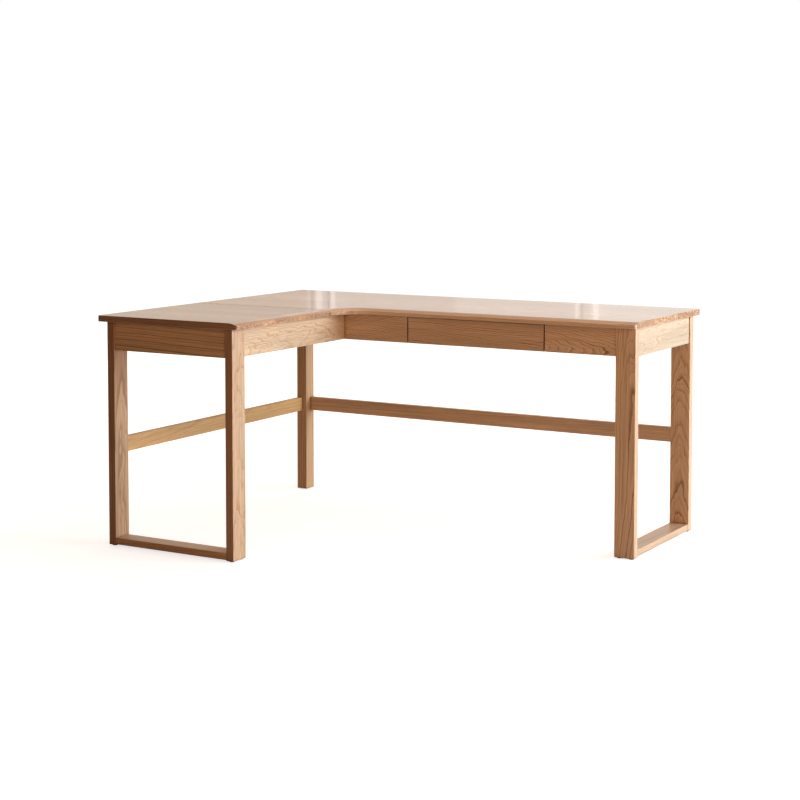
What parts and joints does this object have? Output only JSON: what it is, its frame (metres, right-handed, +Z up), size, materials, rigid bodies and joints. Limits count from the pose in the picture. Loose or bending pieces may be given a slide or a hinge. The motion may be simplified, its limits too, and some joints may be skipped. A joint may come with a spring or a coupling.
{
  "type": "corner desk",
  "caption": "L-shaped oak desk: a long worktop with a return on the left, bevelled user edge, hollow inner curve, open leg frames, mid stretchers and a shallow drawer.",
  "frame": {"origin": "on the floor, under the middle of the desk's outline", "axes": "+X along the long run towards its free end, +Y towards the wall behind the long run, +Z up"},
  "size_m": [1.6, 1.2, 0.75],
  "materials": {
    "worktop_oak": "clear satin lacquer",
    "frame_oak": "clear satin lacquer",
    "inner_oak": "sanded, unlacquered",
    "drawer_oak": "sanded, thin lacquer",
    "dowel_beech": "raw fluted beech",
    "fitting_steel": "zinc plated",
    "slide_steel": "bright zinc plated sheet",
    "nylon": "moulded nylon"
  },
  "bodies": {
    "desk": {"angle_brackets": "fitting_steel", "apron_dowels": "dowel_beech", "back_apron": "frame_oak", "back_stretcher": "frame_oak", "bracket_screws": "fitting_steel", "corner_block": "inner_oak", "corner_bolt": "fitting_steel", "corner_leg": "frame_oak", "corner_nut": "fitting_steel", "corner_washer": "fitting_steel", "drawer_rail_left": "inner_oak", "drawer_rail_right": "inner_oak", "front_panel_left": "frame_oak", "front_panel_right": "frame_oak", "leg_glides": "nylon", "main_top": "worktop_oak", "outer_side_apron": "frame_oak", "return_foot_rail": "frame_oak", "return_front_apron": "frame_oak", "return_inner_apron": "frame_oak", "return_inner_leg": "frame_oak", "return_outer_leg": "frame_oak", "return_top": "worktop_oak", "right_back_leg": "frame_oak", "right_end_apron": "frame_oak", "right_foot_rail": "frame_oak", "right_front_leg": "frame_oak", "seam_batten": "inner_oak", "seam_batten_screws": "fitting_steel", "seam_dowels": "dowel_beech", "side_stretcher": "frame_oak", "slide_outer_left": "slide_steel", "slide_outer_right": "slide_steel", "slide_rail_screws": "fitting_steel"},
    "slide_middle": {"slide_middle_left": "slide_steel", "slide_middle_right": "slide_steel"},
    "drawer": {"drawer_front": "frame_oak", "drawer_side_left": "drawer_oak", "drawer_side_right": "drawer_oak", "drawer_back": "drawer_oak", "drawer_bottom": "drawer_oak", "drawer_dowels": "dowel_beech", "slide_inner_left": "slide_steel", "slide_inner_right": "slide_steel", "slide_drawer_screws": "fitting_steel"}
  },
  "joints": [
    {"name": "drawer_slide", "type": "slide", "parent": "desk", "child": "drawer", "axis": [0, -1, 0], "range_m": [0, 0.38]},
    {"name": "slide_middle_travel", "type": "slide", "parent": "desk", "child": "slide_middle", "axis": [0, -1, 0], "range_m": [0, 0.19]}
  ],
  "couplings": [
    {"joint": "slide_middle_travel", "follows": "drawer_slide", "ratio": 0.5}
  ]
}
